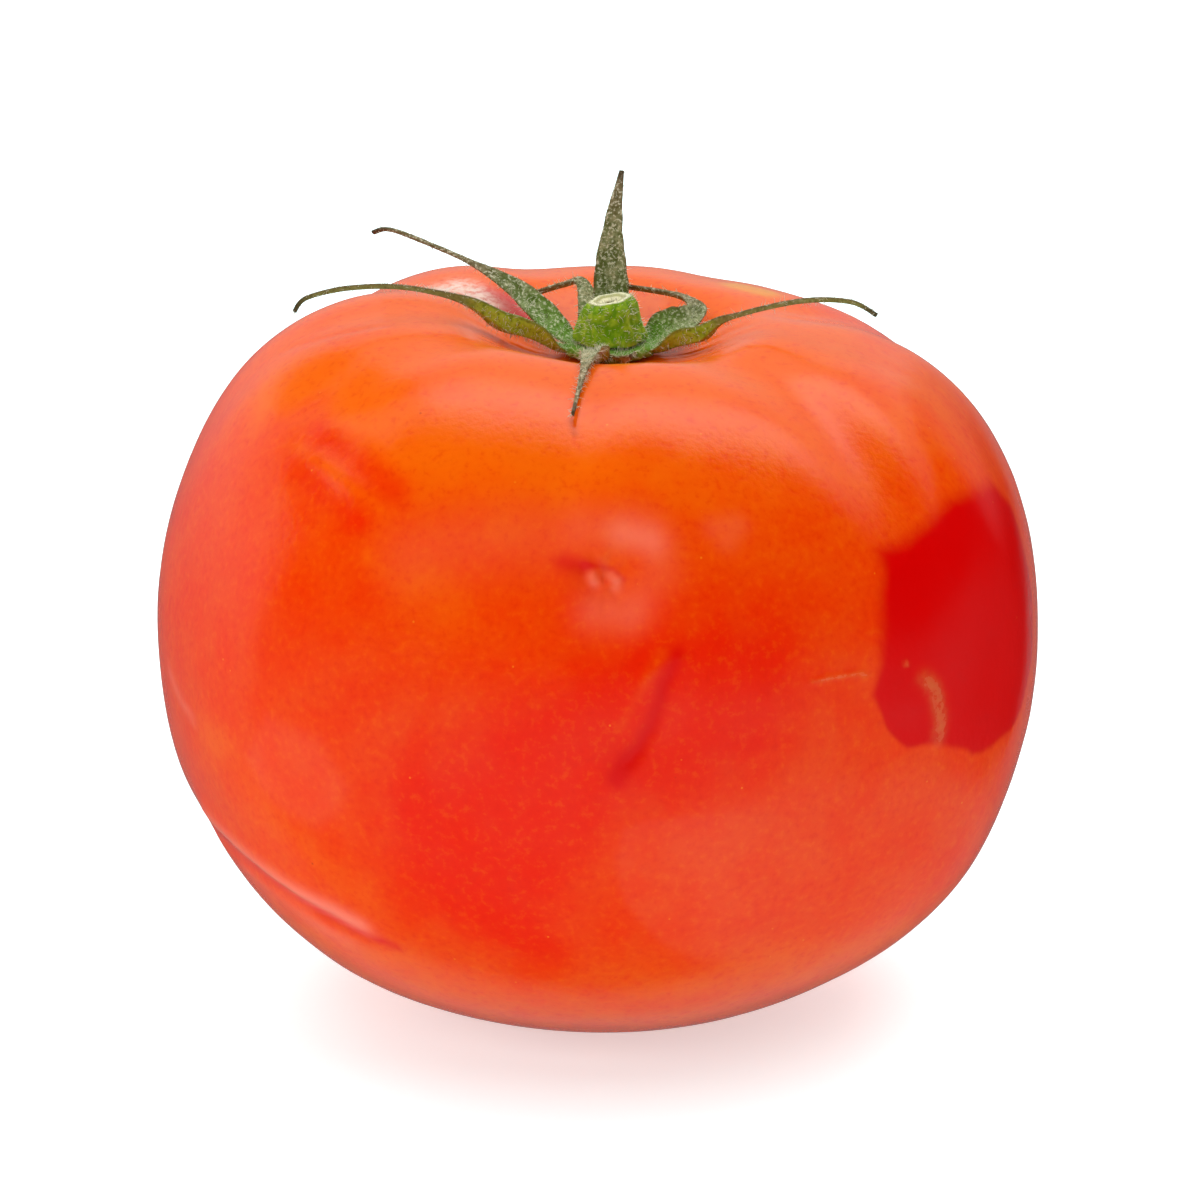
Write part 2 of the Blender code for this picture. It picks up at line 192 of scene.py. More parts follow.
# Some strokes are painted light: pale pink highlights and reflections, and darker red shade in hollows
# Strokes of colour: what they raise or lower, by how much, their half width in millimetres and their places
STROKES = (
    ("orange", 0.50, 3.0, ((-163, 37.8), (-158.7, 42), (-154, 47), (-147, 45.5), (-141.5, 43))),
    ("orange", 0.15, 7.0, ((-126, 38), (-113, 39), (-100, 40))),
    ("orange", -0.45, 8.0, ((-104, -8), (-94, 0), (-84, 6), (-74, 9))),
    ("orange", -0.25, 7.0, ((-112, -10), (-104, -22), (-100, -30))),
    ("orange", 0.22, 3.4, ((-116, 21), (-111, 18))),
    ("orange", 0.18, 2.6, ((-154, -8), (-146, -5.5), (-139, -11), (-131, -17), (-125, -22))),
    ("orange", 0.12, 8.0, ((-150, -12), (-140, -22))),
    ("orange", 0.30, 0.9, GROOVE_LIP),
    ("orange", 0.22, 0.8, ((-124.7, 22.6), (-123.0, 20.8), (-121.6, 21.5))),
    # Redder along the two bands: painted reflection of a dark gap, where the gloss mirrors no white
    ("orange", -0.34, 1.5, UPPER_BAND),
    ("orange", -0.32, 1.5, LOWER_BAND),
    ("orange", 0.16, 0.8, BAND_RIDGE),
    ("orange", -0.10, 1.4, ((-167.2, 24.4), (-165.4, 22.9))),
    # Darker red in the pucker's pit, along the groove and at its end: painted shade in these hollows
    ("red", 0.80, 1.0, ((-96.2, 25.9), (-95.0, 25.7), (-93.4, 25.5))),
    ("red", 0.60, 0.35, ((-93.4, 25.6), (-91.3, 25.7), (-89.2, 25.3), (-87.6, 24.0))),
    ("red", 0.95, 0.9, GROOVE),
    ("red", 0.50, 1.5, ((-86.6, 0.6), (-87.4, -0.4))),
    ("dark", 0.45, 0.35, ((-97.6, 47.0), (-96.8, 44.5))),
    ("red", 1.40, 2.2, ((143.6, 64.7), (141.4, 66.0), (141.9, 68.8))),
    ("dark", 0.50, 1.6, ((143.0, 65.2), (141.4, 66.5), (141.9, 68.8))),
    # Darker red along the crease: painted shade
    ("red", 0.90, 0.6, CREASE),
    # Painted highlights and reflections of the white studio, laid into the skin's colour as pale pink
    ("painted_highlight", 0.11, 2.3, ((-93.0, 30.3), (-86.2, 30.0), (-83.3, 28.6), (-83.1, 25.3), (-85.1, 22.5))),
    ("painted_highlight", 0.38, 1.6, ((-87.8, 29.6), (-84.3, 29.0))),
    ("painted_highlight", 0.22, 2.1, ((-91.0, 20.0), (-86.6, 19.4))),
    ("painted_highlight", 0.34, 0.6, ((-92.2, 24.3), (-91.7, 23.5))),
    ("painted_highlight", 0.34, 0.6, ((-89.5, 24.5), (-88.7, 23.9), (-88.7, 23.1))),
    ("painted_highlight", 0.08, 3.4, ((-118, 24), (-112, 26.5), (-104, 28.4), (-97, 28.6))),
    ("painted_highlight", 0.10, 1.3, ((-74.3, 30.4), (-70.8, 30.8), (-72.8, 28.9))),
    ("painted_highlight", 0.60, 1.3, CREASE_GLEAM),
    ("painted_highlight", 0.16, 1.7, ((-152, -27), (-142, -29), (-132, -31.5))),
    ("painted_highlight", 0.25, 0.7, ((-167.4, -1.9), (-162.4, -4.2), (-156.8, -5.3))),
    ("scuff", 1.00, 2.1, ((150, 58.7), (145.2, 59.9), (146.2, 62.5), (149.8, 64.7))),
    ("yellow", 2.00, 1.5, ((50.5, 57.2), (46.4, 57.3), (42.3, 56.8))),
)
# How orange the skin is: at its belly, and what it gains between two latitudes
BELLY_ORANGE = 0.36
ORANGE_GAINS = ((0.42, 16, 44), (0.22, 46, 60), (0.28, -24, -36))
OTHER_SIDE_SPREAD = 0.35
# How far the edges of the marks stray from their lines, and the size of the blobs that lead them astray
STROKE_STRAY = 0.8 * MILLIMETRE
STROKE_STRAY_SIZE = 0.009
EDGE_STRAY_DEGREES = 1.2
EDGE_STRAY_SIZE = 0.006

# Calyx ring and sepals, as in the part's source
GAP = 0.0003
RING_RADIUS = 0.0046
RING_HEIGHT = 0.0012
RING_AROUND = 96
SEPAL_ROOT_SHARE = 0.72
FULL_WIDTH_FROM = 0.20
NARROWING_FROM = 0.10
PATH_STEPS = 12
CUPPED_FROM = 0.15
ROLL_DONE = 0.3
# Every sepal leaves the ring along these points: reach from the stalk's axis, offset to the left and rise
# above the ring's top, in millimetres
SEPAL_ROOT = ((3.4, 0, -0.7), (5.2, 0, -0.4))
# Each sepal, some a little narrower than the part's: azimuth in degrees, widest in metres, the share of its
# length where the blade has drawn out into a thread, cupping, roll in degrees, how dry it is, and the rest of
# its path in the root's measures
SEPALS = (
    ("right", -10, 0.0037, 0.44, 0.35, -58, 0.25,
     ((6.7, 0.1, 0.2), (9.4, 0, 1.0), (12.1, 0, 3.0), (19.3, -0.2, 5.2), (24.7, 0, 5.4), (27.5, 0, 4.1))),
    ("right_back", 25, 0.0044, 0.75, 0.40, 30, 0.20,
     ((6.6, 0, 0.4), (8.9, 0.2, 1.2), (10.4, 1.5, 1.9), (9.8, 4.7, 2.6), (5.8, 8.3, 3.1))),
    ("back", 88, 0.0043, 1.15, 0.20, -8, 0.35,
     ((5.6, 0, 3.9), (5.8, 0, 8.4), (6.1, -0.3, 12.0), (7.0, -1.0, 16.2))),
    ("left_back", 112, 0.0030, 0.80, 0.25, -15, 0.45,
     ((5.4, 0, 2.2), (8.5, -0.2, 4.1), (10.1, 1.1, 3.6), (12.8, 4.2, 2.0))),
    ("left_high", 149, 0.0035, 0.66, 0.30, -28, 0.30,
     ((6.7, -0.1, 0.5), (11.7, -0.6, 3.7), (17.8, -1.0, 5.8), (24.7, -0.9, 7.5), (27.3, -0.5, 8.0),
      (28.8, -0.2, 7.5))),
    ("left", 187, 0.0038, 0.55, 0.35, 58, 0.12,
     ((7.7, -0.1, 0.9), (10.8, -0.1, 2.0), (14.7, 0.2, 4.7), (20.6, 0.5, 6.5), (26.5, 0.5, 6.7),
      (31.0, 0.4, 5.8), (32.3, 0.5, 4.4))),
    ("front", 255, 0.0032, 0.85, 0.25, 18, 0.60,
     ((11.0, 1.2, 2.0), (18.4, 2.5, 2.8), (23.0, 3.1, 2.0), (28.0, 3.7, 0.5))),
    ("stub", 286, 0.0032, 1.0, 0.30, 0, 0.80, ((6.8, 0.3, 0.3),)),
)
# Sepals: how finely they are divided, and their real thickness
SEPAL_STEPS = 90
SEPAL_ACROSS = 14
SEPAL_TIP_WIDTH = 0.00030
SEPAL_THREAD = 0.00048
SEPAL_MIDDLE_THICKNESS = 0.00050
SEPAL_EDGE_THICKNESS = 0.00016
MIDRIB_RISE = 0.00030
EDGE_WAVE = 0.00022

# Stalk stub, as in the part's source
STALK_FOOT_RADIUS = 0.0036
STALK_WAIST_RADIUS = 0.0031
STALK_SHOULDER_RADIUS = 0.0028
STALK_CUT_RADIUS = 0.00215
STALK_HEIGHT = 0.0042
STALK_WAIST_HEIGHT = 0.0019
STALK_BEVEL = 0.0006
STALK_RIBS = 6
STALK_RIB_SWELL = 0.05
CUT_SLOPE = math.radians(10)
STALK_AROUND = 120
STALK_SIDE_STEPS = 8
STALK_CUT_STEPS = 12

# Hairs: how they are drawn, their size in metres and how many there are. A hair's middle lies a little under
# half its length out, so its root sinks in
HAIR_SEED = 7
HAIR_RADIUS = 0.000032
HAIR_TAPER = 0.15
HAIR_LEAN = 0.45
HAIR_LENGTHS = (0.00030, 0.00080)
HAIR_MIDDLE = 0.45
HAIRS_ABOVE = CREST_HEIGHT - DIMPLE_DEPTH + 0.0006
HAIRS_AT_ONCE = 50
CALYX_HAIRS = 3400
STALK_HAIRS = 800

# Skin colours
RIPE_RED = (0.75, 0.012, 0.0003, 1)
RIPE_ORANGE_RED = (0.77, 0.047, 0.0004, 1)
RIPE_ORANGE = (0.82, 0.115, 0.0008, 1)
# The deeper red that paints in the reflection of a dark red neighbour
REFLECTED_DEEP_RED = (0.62, 0.0002, 0.0002, 1)
GRAIN_ORANGE = (0.85, 0.13, 0.001, 1)
GRAIN_RED = (0.67, 0.008, 0.0003, 1)
DOT_GOLD = (0.85, 0.30, 0.02, 1)
PORE_DARK = (0.38, 0.010, 0.002, 1)
# A darker red: real marks, and painted shade in the groove, the crease and the pucker's pit
MARK_AND_SHADE_RED = (0.65, 0.002, 0.0002, 1)
DARK_RED = (0.34, 0.020, 0.002, 1)
# The pale pink of the painted highlights and reflections of the white studio
HIGHLIGHT_PINK = (0.92, 0.22, 0.14, 1)
SCUFF_WHITE = (0.86, 0.62, 0.52, 1)
PATCH_YELLOW = (0.78, 0.25, 0.001, 1)
CORK_TAN = (0.66, 0.14, 0.016, 1)

# Camera: where the photographer stood and how wide the picture is at the fruit, in metres, and the width of
# its sensor in millimetres
CAMERA_ELEVATION = math.radians(18)
CAMERA_DISTANCE = 0.8
CAMERA_PIVOT_HEIGHT = 0.038
AIM_HEIGHT = 0.0424
PICTURE_WIDTH = 0.124
SENSOR_WIDTH = 36

# Studio: how white its parts are, and where they lie. The white sides begin where y passes two values
BACKDROP = 1.0
FLOOR_GLOW = 0.5
FLOOR_HALF_WIDTH = 4
FLOOR_DROP = 0.00015
FLOOR_TINT = (0.84, 0.98, 1.0, 1)
STUDIO_WHITE = 0.5
WHITE_SIDES_BEGIN = (0.06, 0.30)
OVERHEAD_WHITE = 1.5
DARK_SIDE = (0.88, 0.47, 0.02)
# Each dark gap in the white: its direction, and the cosines from its middle where it ends and is whole
GAPS = (
    ((-0.48, 0.70, 0.53), 0.964, 0.982),
    ((-0.80, 0.22, 0.56), 0.974, 0.988),
)
# Each softbox: place, width, height and radiance
SOFTBOXES = (
    ("overhead", (0.00, 0.00, 1.05), 1.7, 1.7, 1.55),
    ("front", (-0.45, -1.30, 0.70), 1.4, 0.8, 2.60),
    ("low front", (-0.10, -1.10, 0.16), 1.7, 0.3, 0.2),
    ("left", (-1.15, 0.15, 0.22), 1.2, 0.5, 2.0),
    ("right", (1.20, 0.35, 0.25), 1.2, 0.5, 1.4),
    ("back", (0.10, 1.30, 0.50), 3.2, 1.0, 2.1),
)


def srgb(red, green, blue):
    """A colour given as 0 to 255, as linear light with full opacity."""
    channels = []
    for value in (red, green, blue):
        share = value / 255
        channels.append(share / 12.92 if share <= 0.04045 else ((share + 0.055) / 1.055) ** 2.4)
    return (*channels, 1.0)


def ramp(value, start, end):
    """0 before start, 1 after end and smooth between, also where end is below start."""
    share = np.clip((value - start) / (end - start), 0.0, 1.0)
    return share * share * (3 - 2 * share)


def bell(distance, half_width):
    """1 at no distance, falling to a third at the half width and then to 0."""
    return np.exp(-((distance / half_width) ** 2))


def add_object(name, mesh, material):
    mesh.shade_smooth()
    mesh.materials.append(material)
    made = bpy.data.objects.new(name, mesh)
    bpy.context.scene.collection.objects.link(made)
    return made


def mesh_from(bm, name):
    """The finished mesh. Its faces are put in the order of their corners, the same in every run."""
    bm.verts.index_update()
    count = len(bm.verts)

    def rank(face):
        first, second, third = sorted(vert.index for vert in face.verts)[:3]
        return (first * count + second) * count + third

    bm.faces.sort(key=rank)
    mesh = bpy.data.meshes.new(name)
    bm.to_mesh(mesh)
    bm.free()
    return mesh


def read_points(mesh):
    points = np.empty(len(mesh.vertices) * 3)
    mesh.vertices.foreach_get("co", points)
    return points.reshape(-1, 3)


def write_points(mesh, points):
    mesh.vertices.foreach_set("co", points.ravel())
    mesh.update()


def write_attribute(mesh, name, values):
    layer = mesh.attributes.new(name, "FLOAT", "POINT")
    layer.data.foreach_set("value", np.asarray(values, dtype=np.float32))


def noise_at(points, size, seed):
    """Smooth noise from about -1 to 1 at each point, with blobs of about this size."""
    offset = Vector((seed * 3.7, seed * 1.3, seed * 5.1))
    return np.array([noise.noise(Vector(p) / size + offset) for p in points])


# Fruit


def bezier_run(start, start_handle, end_handle, end, steps):
    """The points after start on one curve with two handles, in the XZ plane."""
    points = [Vector((x, 0, z)) for x, z in (start, start_handle, end_handle, end)]
    return interpolate_bezier(*points, steps + 1)[1:]


def straight_run(start, end, steps):
    """The points after start on a straight line in the XZ plane."""
    a = Vector((start[0], 0, start[1]))
    b = Vector((end[0], 0, end[1]))
    return [a.lerp(b, (i + 1) / steps) for i in range(steps)]


def fruit_outline():
    """Half the fruit's outline, from the dimple's middle over the crest to the middle of the flat spot."""
    floor_height = CREST_HEIGHT - DIMPLE_DEPTH
    floor_middle = (0, floor_height)
    floor_edge = (DIMPLE_FLOOR_RADIUS, floor_height)
    crest = (CREST_RADIUS, CREST_HEIGHT)
    equator = (FRUIT_RADIUS, EQUATOR_HEIGHT)
    rest_edge = (REST_RADIUS, 0)
    outline = [Vector((0, 0, floor_height))]
    outline += straight_run(floor_middle, floor_edge, DIMPLE_STEPS)
    outline += bezier_run(
        floor_edge,
        (floor_edge[0] + SLOPE_HANDLE, floor_height),
        (CREST_RADIUS - SLOPE_HANDLE, CREST_HEIGHT),
        crest,
        SLOPE_STEPS,
    )
    outline += bezier_run(
        crest,
        (CREST_RADIUS + SHOULDER_HANDLE, CREST_HEIGHT),
        (FRUIT_RADIUS, EQUATOR_HEIGHT + UPPER_SIDE_HANDLE),
        equator,
        UPPER_STEPS,
    )
    belly_handle = (
        REST_RADIUS + BELLY_HANDLE * math.cos(REST_EDGE_SLOPE),
        BELLY_HANDLE * math.sin(REST_EDGE_SLOPE),
    )
    outline += bezier_run(
        equator,
        (FRUIT_RADIUS, EQUATOR_HEIGHT - LOWER_SIDE_HANDLE),
        belly_handle,
        rest_edge,
        LOWER_STEPS,
    )
    outline += straight_run(rest_edge, (0, 0), REST_STEPS)
    return outline


def globe_angles(points):
    """Longitude and latitude in degrees of each point."""
    longitude = np.degrees(np.arctan2(points[:, 1], points[:, 0]))
    reach = np.hypot(points[:, 0], points[:, 1])
    latitude = np.degrees(np.arctan2(points[:, 2] - EQUATOR_HEIGHT, reach))
    return longitude, latitude


def places_on_skin(angles):
    """Where (longitude, latitude) places lie on the turned fruit."""
    outline = np.array(fruit_outline())
    rise = np.arctan2(outline[:, 2] - EQUATOR_HEIGHT, outline[:, 0])
    far = np.hypot(outline[:, 0], outline[:, 2] - EQUATOR_HEIGHT)
    places = []
    for longitude, latitude in angles:
        turn = math.radians(longitude)
        lift = math.radians(latitude)
        distance = np.interp(lift, rise[::-1], far[::-1])
        level = distance * math.cos(lift)
        height = EQUATOR_HEIGHT + distance * math.sin(lift)
        places.append((level * math.cos(turn), level * math.sin(turn), height))
    return np.array(places)


def distance_to_line(points, angles):
    """Each point's distance to a line on the skin, and the share of the line where it is nearest."""
    knots = places_on_skin(angles)
    lengths = np.linalg.norm(np.diff(knots, axis=0), axis=1)
    nearest = np.full(len(points), np.inf)
    share = np.zeros(len(points))
    walked = 0.0
    for a, b, length in zip(knots, knots[1:], lengths):
        along = np.clip((points - a) @ (b - a) / length**2, 0, 1)
        gap = np.linalg.norm(points - a - along[:, None] * (b - a), axis=1)
        closer = gap < nearest
        nearest[closer] = gap[closer]
        share[closer] = (walked + along[closer] * length) / lengths.sum()
        walked += length
    return nearest, share


def furrow_depth(points):
    """How far the furrows sink the shoulder at each point of the turned shape."""
    reach = np.hypot(points[:, 0], points[:, 1])
    height = points[:, 2]
    inside = (height >= FURROW_END_HEIGHT) & (reach >= FURROW_START)
    along = ramp(reach, FURROW_START, FURROW_MIDDLE) * ramp(height, FURROW_END_HEIGHT, CREST_HEIGHT)
    azimuths = np.arctan2(points[:, 1], points[:, 0])
    sunk = np.zeros(len(points))
    for azimuth, depth, half_width in FURROWS:
        turn = azimuths - math.radians(azimuth)
        turn -= math.tau * np.round(turn / math.tau)
        near = np.abs(turn) < math.pi / 2
        sunk += np.where(near, depth * bell(reach * np.sin(turn), half_width), 0)
    return np.where(inside, sunk * along, 0)


def dent_depth(points):
    """How far the dents sink the side at each point of the turned shape."""
    reach = np.maximum(np.hypot(points[:, 0], points[:, 1]), 1e-9)
    flat = np.column_stack((points[:, :2] / reach[:, None] * FRUIT_RADIUS, points[:, 2]))
    sunk = np.zeros(len(points))
    for azimuth, height, radius, depth in DENTS:
        angle = math.radians(azimuth)
        aim = np.array((math.cos(angle) * FRUIT_RADIUS, math.sin(angle) * FRUIT_RADIUS, height))
        sunk += depth * bell(np.linalg.norm(flat - aim, axis=1), radius)
    return sunk


def line_relief(points):
    """Depth of the creases, dents and ridges that only the looks have."""
    sunk = np.zeros(len(points))
    for angles, half_width, depth in RELIEF_LINES:
        distance, share = distance_to_line(points, angles)
        fade = ramp(share, 0, 0.22) * ramp(share, 1, 0.78)
        sunk += depth * fade * bell(distance / MILLIMETRE, half_width)
    for angles, half_width, _ in CORK_SCARS:
        distance, share = distance_to_line(points, angles)
        fade = ramp(share, 0, 0.1) * ramp(share, 1, 0.9)
        sunk -= CORK_RISE * fade * bell(distance / MILLIMETRE, half_width)
    return sunk * MILLIMETRE


def pucker_relief(points):
    """The healed pucker on the front: a pit, the small heart of wrinkles in it and creases that run out."""
    middle = places_on_skin([PUCKER])[0]
    outwards = np.array((math.cos(math.radians(PUCKER[0])), math.sin(math.radians(PUCKER[0])), 0))
    leftwards = np.array((outwards[1], -outwards[0], 0))
    right = -(points - middle) @ leftwards / MILLIMETRE
    up = (points - middle)[:, 2] / MILLIMETRE
    distance = np.linalg.norm(points - middle, axis=1) / MILLIMETRE
    turn = np.arctan2(up, right)
    x, y, radius = SIDE_PIT
    pit = PIT_DEPTH * bell(distance, PIT_RADIUS)
    pit += SIDE_PIT_DEPTH * bell(np.hypot(right - x, up - y), radius)
    heart = np.zeros(len(points))
    for x, y, radius in HEART_LOBES:
        heart += HEART_RISE * bell(np.hypot(right - x, up - y), radius)
    groove = HEART_GROOVE_DEPTH * bell(right + 0.05, 0.22) * bell(up - 0.3, 0.8)
    creases = WRINKLE_DEPTH * np.cos(WRINKLES * turn + 0.6) * bell(distance - 2.6, 1.3)
    lip = LIP_RISE * bell(distance - LIP_RADIUS, 1.5) * (0.6 + 0.4 * np.sin(turn - 0.5))
    return (pit - heart + groove + creases - lip) * MILLIMETRE


def undulation(points):
    """The slight unevenness of a grown skin and its folds round the calyx, in metres."""
    reach = np.hypot(points[:, 0], points[:, 1])
    azimuth = np.arctan2(points[:, 1], points[:, 0])
    broad = BROAD_SWELLS[1] * noise_at(points, BROAD_SWELLS[0], 1)
    small = SMALL_SWELLS[1] * noise_at(points, SMALL_SWELLS[0], 2)
    folds = 0.06 * np.cos(23 * azimuth + 3 * np.sin(2 * azimuth)) * bell(reach - 0.011, 0.0035)
    folds += 0.03 * np.cos(41 * azimuth + 1.0) * bell(reach - 0.009, 0.0020)
    folds = np.where(points[:, 2] > EQUATOR_HEIGHT, folds, 0)
    return (broad + small + folds) * MILLIMETRE


def grown(points):
    """Where growth takes the points of the turned fruit: the part's shape, then finer relief."""
    reach = np.hypot(points[:, 0], points[:, 1])
    azimuth = np.arctan2(points[:, 1], points[:, 0])
    outwards = points - np.array((0, 0, EQUATOR_HEIGHT))
    outwards /= np.linalg.norm(outwards, axis=1)[:, None]
    side = ramp(points[:, 2], 0, EQUATOR_HEIGHT / 2) * ramp(reach, DIMPLE_FLOOR_RADIUS, FRUIT_RADIUS)
    swell = LOBE_SWELL * np.cos(LOBE_COUNT * (azimuth - LOBE_TURN)) + OVAL_SWELL * np.cos(2 * azimuth)
    out = swell * side - furrow_depth(points) - dent_depth(points)
    fine = line_relief(points) + pucker_relief(points) - undulation(points)
    out -= fine * ramp(points[:, 2], 0, FLAT_SPOT_FADE)
    moved = points + outwards * out[:, None]
    upper = ramp(points[:, 2], EQUATOR_HEIGHT, CREST_HEIGHT - DIMPLE_DEPTH)
    shoulder = upper * ramp(reach, DIMPLE_FLOOR_RADIUS, FURROW_MIDDLE)
    moved[:, 2] -= SHOULDER_TILT * points[:, 0] * shoulder
    moved[:, 0] += STALK_SHIFT * upper
    moved[points[:, 2] <= 0] = points[points[:, 2] <= 0]
    return moved


def turned_fruit():
    """The turned fruit before growth: a sheet wrapped round the axis, its columns crowded in front."""
    outline = fruit_outline()
    rows = len(outline) - 1
    bm = bmesh.new()
    bmesh.ops.create_grid(bm, x_segments=AROUND, y_segments=rows, size=0.5)
    for vert in bm.verts:
        knot = outline[round((vert.co.y + 0.5) * rows)]
        from_front = vert.co.x * math.tau
        turn = from_front - FRONT_CROWDING * math.sin(from_front) - math.pi / 2
        vert.co = (knot.x * math.cos(turn), knot.x * math.sin(turn), knot.z)
    bmesh.ops.remove_doubles(bm, verts=bm.verts, dist=MERGE_DISTANCE)
    for (west, east), (south, north) in FINE_WINDOWS:
        wanted = []
        for edge in bm.edges:
            middle = (edge.verts[0].co + edge.verts[1].co) / 2
            longitude = math.degrees(math.atan2(middle.y, middle.x))
            latitude = math.degrees(math.atan2(middle.z - EQUATOR_HEIGHT, math.hypot(middle.x, middle.y)))
            if west < longitude < east and south < latitude < north:
                wanted.append(edge)
        bmesh.ops.subdivide_edges(bm, edges=wanted, cuts=1, use_grid_fill=True)
    bmesh.ops.recalc_face_normals(bm, faces=bm.faces)
    return mesh_from(bm, "tomato_skin")


def stroke(points, angles, half_width):
    """1 on a line of places on the skin, fading to 0 beyond a half width in millimetres."""
    distance, _ = distance_to_line(points, angles)
    return bell(distance / MILLIMETRE, half_width)


def inside(longitude, latitude, outline, softness):
    """1 for places inside an outline of (longitude, latitude) places, 0 outside, blurred over millimetres."""
    squeeze = np.cos(np.radians(latitude))
    degree = FRUIT_RADIUS / MILLIMETRE * math.pi / 180
    within = np.zeros(len(latitude), dtype=bool)
    distance = np.full(len(latitude), np.inf)
    for (lon_a, lat_a), (lon_b, lat_b) in zip(outline, outline[1:] + outline[:1]):
        crosses = (lat_a > latitude) != (lat_b > latitude)
        if lat_a != lat_b:
            edge = lon_a + (latitude - lat_a) / (lat_b - lat_a) * (lon_b - lon_a)
            within ^= crosses & (longitude < edge)
        across = (longitude - lon_a) * squeeze * degree
        up = (latitude - lat_a) * degree
        run = (lon_b - lon_a) * squeeze * degree
        rise = (lat_b - lat_a) * degree
        along = np.clip((across * run + up * rise) / (run**2 + rise**2), 0, 1)
        distance = np.minimum(distance, np.hypot(across - along * run, up - along * rise))
    return ramp(np.where(within, distance, -distance), -softness, softness)


def orange_share(points, latitude):
    """How orange the skin is at each point, before the strokes."""
    orange = np.full(len(points), BELLY_ORANGE)
    for gain, start, end in ORANGE_GAINS:
        orange += gain * ramp(latitude, start, end)
    orange += OTHER_SIDE_SPREAD * noise_at(points, 0.028, 5) * ramp(points[:, 1], -0.02, 0.02)
    return orange


def cork_share(points):
    """How much cork shows at each point: the thin scars and the scar of the blossom."""
    cork = np.zeros(len(points))
    for angles, half_width, shown in CORK_SCARS:
        distance, share = distance_to_line(points, angles)
        fade = ramp(share, 0, 0.3) * ramp(share, 1, 0.85)
        cork = np.maximum(cork, shown * fade * bell(distance / MILLIMETRE, half_width))
    reach = np.hypot(points[:, 0], points[:, 1]) / MILLIMETRE
    radius, shown = BLOSSOM_SCAR
    return cork + shown * ramp(reach, radius * 1.5, radius * 0.5) * (points[:, 2] < MILLIMETRE)


def skin_marks(points):
    """The share of each colour at each point of the turned fruit. Wide strokes stray from their lines."""
    longitude, latitude = globe_angles(points)
    wobble = np.column_stack([noise_at(points, STROKE_STRAY_SIZE, seed) for seed in (11, 12, 13)])
    loose = points + wobble * STROKE_STRAY
    stray_longitude = longitude + noise_at(points, EDGE_STRAY_SIZE, 14) * EDGE_STRAY_DEGREES
    stray_latitude = latitude + noise_at(points, EDGE_STRAY_SIZE, 15) * EDGE_STRAY_DEGREES
    marks = {name: np.zeros(len(points)) for name in ("red", "dark", "painted_highlight", "scuff", "yellow")}
    marks["orange"] = orange_share(points, latitude)
    marks["cork"] = cork_share(points)
    # The painted reflection of a dark red neighbour, its edge softer higher up
    reflection_edge = 1.0 + 2.6 * ramp(latitude, 2, 22)
    marks["dark_reflection"] = inside(stray_longitude, stray_latitude, DARK_REFLECTION_PATCH, reflection_edge)
    for name, strength, half_width, angles in STROKES:
        marks[name] += strength * stroke(loose if half_width > 1.5 else points, angles, half_width)
    # Painted reflections of the white studio, low on the right and on the left
    edge = 0.5 + 2.0 * ramp(longitude, -82, -60)
    low_right = inside(stray_longitude, latitude, REFLECTION_LOW_RIGHT, edge) * ramp(longitude, -50, -84)
    reflection_low_left = inside(stray_longitude, latitude, REFLECTION_LOW_LEFT, 1.2)
    marks["painted_highlight"] += REFLECTION_LOW_RIGHT_SHOWN * low_right + REFLECTION_LOW_LEFT_SHOWN * reflection_low_left
    return marks


def make_fruit(material):
    mesh = turned_fruit()
    points = read_points(mesh)
    for name, values in skin_marks(points).items():
        write_attribute(mesh, name, np.clip(values, 0, 1))
    write_points(mesh, grown(points))
    return add_object("tomato_skin", mesh, material)


# Calyx


def ring_base():
    """The middle of the calyx ring's underside."""
    return Vector((STALK_SHIFT, 0, CREST_HEIGHT - DIMPLE_DEPTH + GAP))


def smooth_path(knots, steps):
    """Points on one smooth curve through the knots. Each knot's handles follow its neighbours."""
    points = [knots[0]]
    for i in range(len(knots) - 1):
        before = knots[max(i - 1, 0)]
        after = knots[min(i + 2, len(knots) - 1)]
        handle_out = knots[i] + (knots[i + 1] - before) / 6
        handle_in = knots[i + 1] - (after - knots[i]) / 6
        points += interpolate_bezier(knots[i], handle_out, handle_in, knots[i + 1], steps + 1)[1:]
    return points


def evenly_spaced(points, count):
    """count + 1 points at equal distances along a path."""
    lengths = [0.0]
    for a, b in zip(points, points[1:]):
        lengths.append(lengths[-1] + (b - a).length)
    spaced = []
    i = 0
    for k in range(count + 1):
        wanted = lengths[-1] * k / count
        while i < len(points) - 2 and lengths[i + 1] < wanted:
            i += 1
        share = (wanted - lengths[i]) / (lengths[i + 1] - lengths[i])
        spaced.append(points[i].lerp(points[i + 1], share))
    return spaced


def sepal_frames(azimuth, path, roll):
    """Place, sideways and upper side's direction at each step along a sepal's middle line."""
    angle = math.radians(azimuth)
    outwards = Vector((math.cos(angle), math.sin(angle), 0))
    leftwards = Vector((-math.sin(angle), math.cos(angle), 0))
    root = ring_base() + Vector((0, 0, RING_HEIGHT))
    knots = [
        root + (outwards * reach + leftwards * left + Vector((0, 0, rise))) * MILLIMETRE
        for reach, left, rise in SEPAL_ROOT + path
    ]
    middle = evenly_spaced(smooth_path(knots, PATH_STEPS), SEPAL_STEPS)
    frames = []
    sideways = leftwards
    for i, place in enumerate(middle):
        along = (middle[min(i + 1, SEPAL_STEPS)] - middle[max(i - 1, 0)]).normalized()
        sideways = (sideways - along * sideways.dot(along)).normalized()
        turn = Quaternion(along, math.radians(roll) * ramp(i / SEPAL_STEPS, 0, ROLL_DONE))
        frames.append((place, turn @ sideways, turn @ along.cross(sideways)))
    return frames


